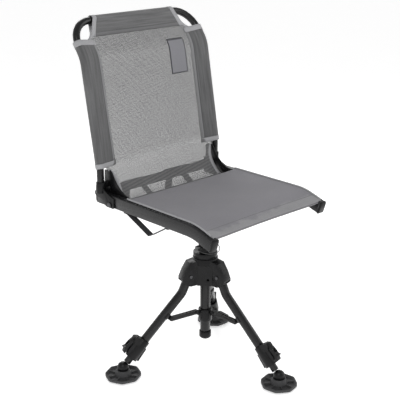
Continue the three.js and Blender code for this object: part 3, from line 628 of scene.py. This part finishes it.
def top_rows(x0, x1, radius, reach, swell, pitch=6.0):
    rows = []
    count = max(2, round((x1 - x0) / pitch))
    for i in range(count + 1):
        x = lerp(x0, x1, i / count)
        row = []
        for k, (a, b) in enumerate(teardrop(radius, reach, 1.3)):
            crease = swell * (0.5 + 0.5 * ripple(k * 0.8, x / 120, 3.0))
            flare = 1 + TOP_FLARE * max(a, 0) / reach
            row.append(top_point(x * flare, a, b * (1 + crease / radius)))
        rows.append(row)
    return rows


# The mesh's lower curve as (y, z), and its half width as (z, x) up to where the sleeves cover it.
PANEL_LINE = ((125, 497), (132, 502), (140, 510), (148, 522),
              (157, 537), (166, 556), (175, 578), (184, 606))
FREE_EDGE = ((497, 184), (511, 183), (524, 180), (538, 179), (552, 181), (563, 185), (572, 190),
             (579, 196), (584, 203), (590, 203), (600, 172), (3000, 172))


def panel_line():
    """Side view of the mesh as (y, z): from the seat, up the back, into the top sleeve."""
    low = [Vector((0, y, z)) for y, z in PANEL_LINE]
    bend = Vector((0, *BACK_BEND)) + Vector((0, -1, 0.4))
    top = Vector((0, *BACK_BEND)).lerp(Vector((0, *BACK_TOP)), 0.63)
    line = low + rounded_line([low[-1], bend, top], [70.0])[1:]
    return [point for point, _ in resample(line, 6.0)]


def panel_half(z, rise):
    """Half the mesh's width at a height; rise is the distance above the back's bend."""
    half = table(FREE_EDGE, z)
    return lerp(half, TOP_HALF, min(max((rise - 58) / 40, 0), 1))


def panel_rows():
    rows = []
    bend = Vector((0, *BACK_BEND))
    for point in panel_line():
        rise = (point - bend).length if point.z > bend.z else 0
        half = panel_half(point.z, rise)
        slack_low = min(max((point.z - 520) / 120, 0), 1)
        slack_high = min(max((900 - point.z) / 120, 0), 1)
        row = []
        for j in range(49):
            u = -1 + j / 24
            give = 2.2 * (1 - u * u) * slack_low * slack_high
            row.append(at(u * half, point.y + give, point.z))
        rows.append(row)
    return rows


def edge_strip(rows, side, width, low, high):
    """Rows of a narrow binding that follows the side edge of a sheet."""
    strip = []
    for row in rows:
        edge = row[0] if side < 0 else row[-1]
        if low <= (edge.z - AXIS.z) * 1000 <= high:
            strip.append([edge + Vector((-side * w / 1000, 0, 0))
                          for w in (width, width / 2, -0.8)])
    return strip


def build_back(looks):
    mesh_rows = panel_rows()
    mesh = cloth_piece("mesh_back", mesh_rows, looks["mesh"], 0.9)
    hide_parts("back_panel")
    attached = []
    for name, side in BACK_SIDES:
        strip = cloth_piece(f"mesh_binding_{name}", edge_strip(mesh_rows, side, 9, 0, 583),
                            looks["binding"], 2.6)
        attached.append(strip)
    seam = cloth_piece("seat_back_seam", seam_rows(), looks["seam"], 1.0)
    for piece in (mesh, *attached, seam):
        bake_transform(piece)
    for name, side in BACK_SIDES:
        corner = cloth_piece(f"corner_binding_{name}", corner_rows(side), looks["binding"],
                             2.4, "back")
        attached.append(corner)
        sleeve_rows = side_rows(side, SLEEVE_LOW + BAND, SLEEVE_HIGH - BAND,
                                SLEEVE_RADIUS, SLEEVE_REACH, SIDE_SWELL)
        sleeve = cloth_piece(f"side_sleeve_{name}", sleeve_rows, looks["side_sleeve"],
                             0.8, "back")
        for end, low, high in (("low", SLEEVE_LOW, SLEEVE_LOW + BAND + BAND_OVERLAP),
                               ("high", SLEEVE_HIGH - BAND - BAND_OVERLAP, SLEEVE_HIGH)):
            band_rows = side_rows(side, low, high, BAND_RADIUS, SLEEVE_REACH + BAND_STANDOUT,
                                  BAND_SWELL, BAND_PITCH)
            cloth_piece(f"sleeve_band_{name}_{end}", band_rows, looks["binding"],
                                     1.1, "back")
        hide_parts(f"back_sleeve_{name}")
    upper_rows = top_rows(-TOP_HALF + BAND, TOP_HALF - BAND, SLEEVE_RADIUS, TOP_FLAP, TOP_SWELL)
    upper = cloth_piece("top_sleeve", upper_rows, looks["top_sleeve"], 0.8, "back")
    for name, side in BACK_SIDES:
        low, high = sorted((side * (TOP_HALF - BAND - BAND_OVERLAP), side * TOP_HALF))
        end_rows = top_rows(low, high, BAND_RADIUS, TOP_FLAP + BAND_STANDOUT,
                            BAND_SWELL, BAND_PITCH)
        cloth_piece(f"top_band_{name}", end_rows, looks["binding"],
                                1.1, "back")
    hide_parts("back_sleeve_top")
    attached.append(build_patch(looks))


def seam_rows():
    """A narrow rolled seam where the mesh meets the seat."""
    rows = []
    for i in range(33):
        x = lerp(-JUNCTION_HALF, JUNCTION_HALF, i / 32)
        rows.append([at(x, JUNCTION_Y + 2.0 * math.cos(t), JUNCTION_Z + 0.6 + 2.0 * math.sin(t))
                     for t in [math.radians(a) for a in range(-60, 241, 30)]])
    return rows


def corner_rows(side):
    """The binding that rounds the open corner between a side sleeve and the top sleeve."""
    start, bend, end = Vector((196, 48)), Vector((172, 49)), Vector((161, 78))
    rows = []
    for i in range(13):
        t = i / 12
        spot = start * (1 - t) ** 2 + bend * (2 * t * (1 - t)) + end * t ** 2
        run = ((bend - start) * (1 - t) + (end - bend) * t).normalized()
        inward = Vector((-run.y, run.x)) * 8
        row = []
        for w in (0, 0.5, 1):
            x, rise = spot + inward * w
            row.append(top_point(side * x, BACK_SLOPE_LENGTH - rise, 1.6))
        rows.append(row)
    return rows


def build_patch(looks):
    """A blank sewn patch high on the sitter's left."""
    middle, along = tube_at(843)
    rows = []
    for i in range(21):
        s = lerp(-49, 49, i / 20)
        rows.append([at(x, middle.x + s * along.x - 3.2, middle.y + s * along.y)
                     for x in range(80, 141, 4)])
    bowed = []
    for row in rows:
        bowed.append([p + Vector((0, panel_offset(p), 0)) for p in row])
    patch = cloth_piece("blank_patch", bowed, looks["patch"], 1.0, "back")
    return patch


def panel_offset(point):
    """How far behind the patch's plane the mesh's surface lies, less a small gap."""
    z = (point.z - AXIS.z) * 1000
    line = panel_line()
    for a, b in zip(line, line[1:]):
        if z <= b.z:
            y = lerp(a.y, b.y, (z - a.z) / (b.z - a.z))
            u = (point.x - AXIS.x) * 1000 / 172
            give = 2.2 * (1 - u * u) * min(max((900 - z) / 120, 0), 1)
            return (y + give - 1.2) / 1000 + AXIS.y - point.y
    return 0.0


# ---------------------------------------------------------------- seat
def rail_top(y):
    """Height of the rail's top: level, a bend, then a straight nose that slopes down."""
    ahead = max(RAIL_BEND_Y - y, 0)
    arc = RAIL_BEND_RADIUS * math.sin(RAIL_SLOPE)
    bent = min(ahead, arc)
    drop = RAIL_BEND_RADIUS - math.sqrt(RAIL_BEND_RADIUS ** 2 - bent ** 2)
    return RAIL_TOP - drop - max(ahead - arc, 0) * math.tan(RAIL_SLOPE)


SIDE_EDGE = ((-400, SLING_EDGE), (84, SLING_EDGE), (92, 197), (100, 191), (110, 187), (125, 184))


def sling_height(u, y):
    """Height of the sling: u is -1..1 across, sagging between the rails."""
    base = rail_top(y) + 1.1
    sag = table(((-232, 9.0), (-150, 7.0), (0, 7.0), (60, 6.5), (84, 5.0)), y)
    if y > 84:
        t = (y - 84) / (SLING_REAR - 84)
        edge = lerp(RAIL_TOP + 1.1, JUNCTION_Z, t ** 0.8)
        middle = lerp(RAIL_TOP + 1.1 - sag, JUNCTION_Z, t)
        return lerp(middle, edge, abs(u) ** 3)
    return base - sag * (1 - abs(u) ** 2.6)


def sling_rows():
    steps = 46
    rows = []
    for i in range(steps + 1):
        t = i / steps
        row = []
        for j in range(57):
            u = -1 + j / 28
            front = SLING_FRONT + 12 * (1 - u * u)
            y = lerp(SLING_REAR, front, t)
            half = table(SIDE_EDGE, y)
            wrinkle = 0.35 * ripple(u * 3, y / 60, 1.0) * (1 - u ** 4)
            row.append(at(u * half, y, sling_height(u, y) + wrinkle))
        rows.append(row)
    last = rows[-1]
    for k in range(1, 10):
        angle = math.radians(22 * k)
        radius = 4.6
        row = []
        for p in last:
            drop = Vector((0, -radius * math.sin(angle), -radius * (1 - math.cos(angle))))
            row.append(p + drop / 1000)
        rows.append(row)
    return rows


def welt_rows(side):
    """A round piping along the sling's side edge, on top of the rail."""
    rows = []
    for i in range(61):
        y = lerp(86, SLING_FRONT + 1, i / 60)
        x = side * table(SIDE_EDGE, y)
        rows.append([at(x + 2.1 * math.cos(a), y, rail_top(y) + 2.5 + 1.9 * math.sin(a))
                     for a in [math.radians(30 * k) for k in range(13)]])
    return rows


def build_seat(looks):
    rows = sling_rows()
    sling = cloth_piece("sling_seat", rows, looks["seat"], 1.0, "seat")
    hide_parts("seat_sling")
    welts = [cloth_piece(f"sling_welt_{name}", welt_rows(side), looks["welt"],
                         0.6, "seat") for name, side in BACK_SIDES]
    build_strap(looks)


def build_strap(looks):
    """The webbing carry loop under the right-hand rail."""
    top = RAIL_TOP - 34 - 1.6
    turns = ((92, top), (80, top), (-8, 442), (-72, top), (-84, top))
    corners = [Vector((STRAP_X, y, z)) for y, z in turns]
    line = rounded_line(corners, [14, 10, 14])
    rows = []
    for point, _ in resample(line, 3.0):
        rows.append([at(point.x + w, point.y, point.z + 0.25 * math.cos(w))
                     for w in (-9, -6, -3, 0, 3, 6, 9)])
    strap = cloth_piece("carry_webbing", rows, looks["webbing"], 2.0, "seat")
    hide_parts("carry_strap")


# Each lace: x and z at the band, x and z at the seat, half width.
LACES = ((-138.5, 532, -172, 499, 15.0), (-80, 514, -82, 495, 9.5),
         (20, 510, -17, 495, 13.0), (76, 512, 69, 495, 11.5))


def build_lumbar(looks):
    """The webbing band behind the mesh and the laces that tie it down to the seat's rear edge."""
    rows = []
    for i in range(64):
        x = lerp(-LUMBAR_HALF, LUMBAR_HALF, i / 63)
        wave = 2.6 * math.sin(x / 31) * math.cos(x / 83) + 1.2 * ripple(x / 23, 0)
        dip = 1.5 * math.cos(x * math.pi / (2 * LUMBAR_HALF))
        rows.append([at(x, 172.2 + 1.2 * ripple(x / 30, w), lerp(508 - dip, 535 + wave, w))
                     for w in (0, 0.25, 0.5, 0.75, 1)])
    band = cloth_piece("lumbar_band", rows, looks["band"], 2.2, "back")
    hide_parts("lumbar_strap")
    for k, (x0, z0, x1, z1, half) in enumerate(LACES):
        lace_rows = []
        for i in range(13):
            t = i / 12
            x, z = lerp(x0, x1, t), lerp(z0, z1, t ** 0.9)
            y = lerp(170.0, 134.0, t)
            lace_rows.append([at(x + w * half, y, z) for w in (-1, -0.5, 0, 0.5, 1)])
        lace = cloth_piece(f"lace_{k + 1}", lace_rows, looks["band"], 1.6)
        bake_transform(lace)


# ---------------------------------------------------------------- scene
def build_looks():
    side_girth = run_length(side_rows(1, 700, 712, SLEEVE_RADIUS, SLEEVE_REACH, SIDE_SWELL)[0])
    top_girth = run_length(top_rows(0, 12, SLEEVE_RADIUS, TOP_FLAP, TOP_SWELL)[0])
    seat_length = run_length([row[28] for row in sling_rows()])
    return {
        "mesh": mesh_cloth("open_mesh", (0.155, 0.155, 0.157)),
        "binding": plain_cloth("binding_tape", (0.31, 0.31, 0.32), 0.0016, 0.12),
        "seam": plain_cloth("dark_seam", (0.10, 0.10, 0.105), 0.0018, 0.2),
        "side_sleeve": sleeve_cloth("side_sleeve_cloth", (0.099, 0.099, 0.101),
                                    (0.19, 0.19, 0.195), side_girth),
        "top_sleeve": sleeve_cloth("top_sleeve_cloth", (0.115, 0.115, 0.117),
                                   (0.13, 0.13, 0.133), top_girth),
        "patch": patch_cloth("patch_cloth"),
        # The second colour is the painted highlight on the seat's front.
        "seat": seat_cloth("sling_cloth", (0.20, 0.196, 0.212), (0.27, 0.27, 0.275), seat_length),
        "welt": plain_cloth("welt_cloth", (0.30, 0.30, 0.31), 0.0018, 0.12),
        "webbing": plain_cloth("black_webbing", (0.014, 0.014, 0.016), 0.0024, 0.4, 0.0007),
        "band": plain_cloth("grey_webbing", (0.03, 0.03, 0.032), 0.0024, 0.3, 0.0006),
    }


build_camera()
build_studio()
finish_nodes()
LOOKS = build_looks()
build_back(LOOKS)
build_seat(LOOKS)
build_lumbar(LOOKS)

bpy.context.view_layer.update()
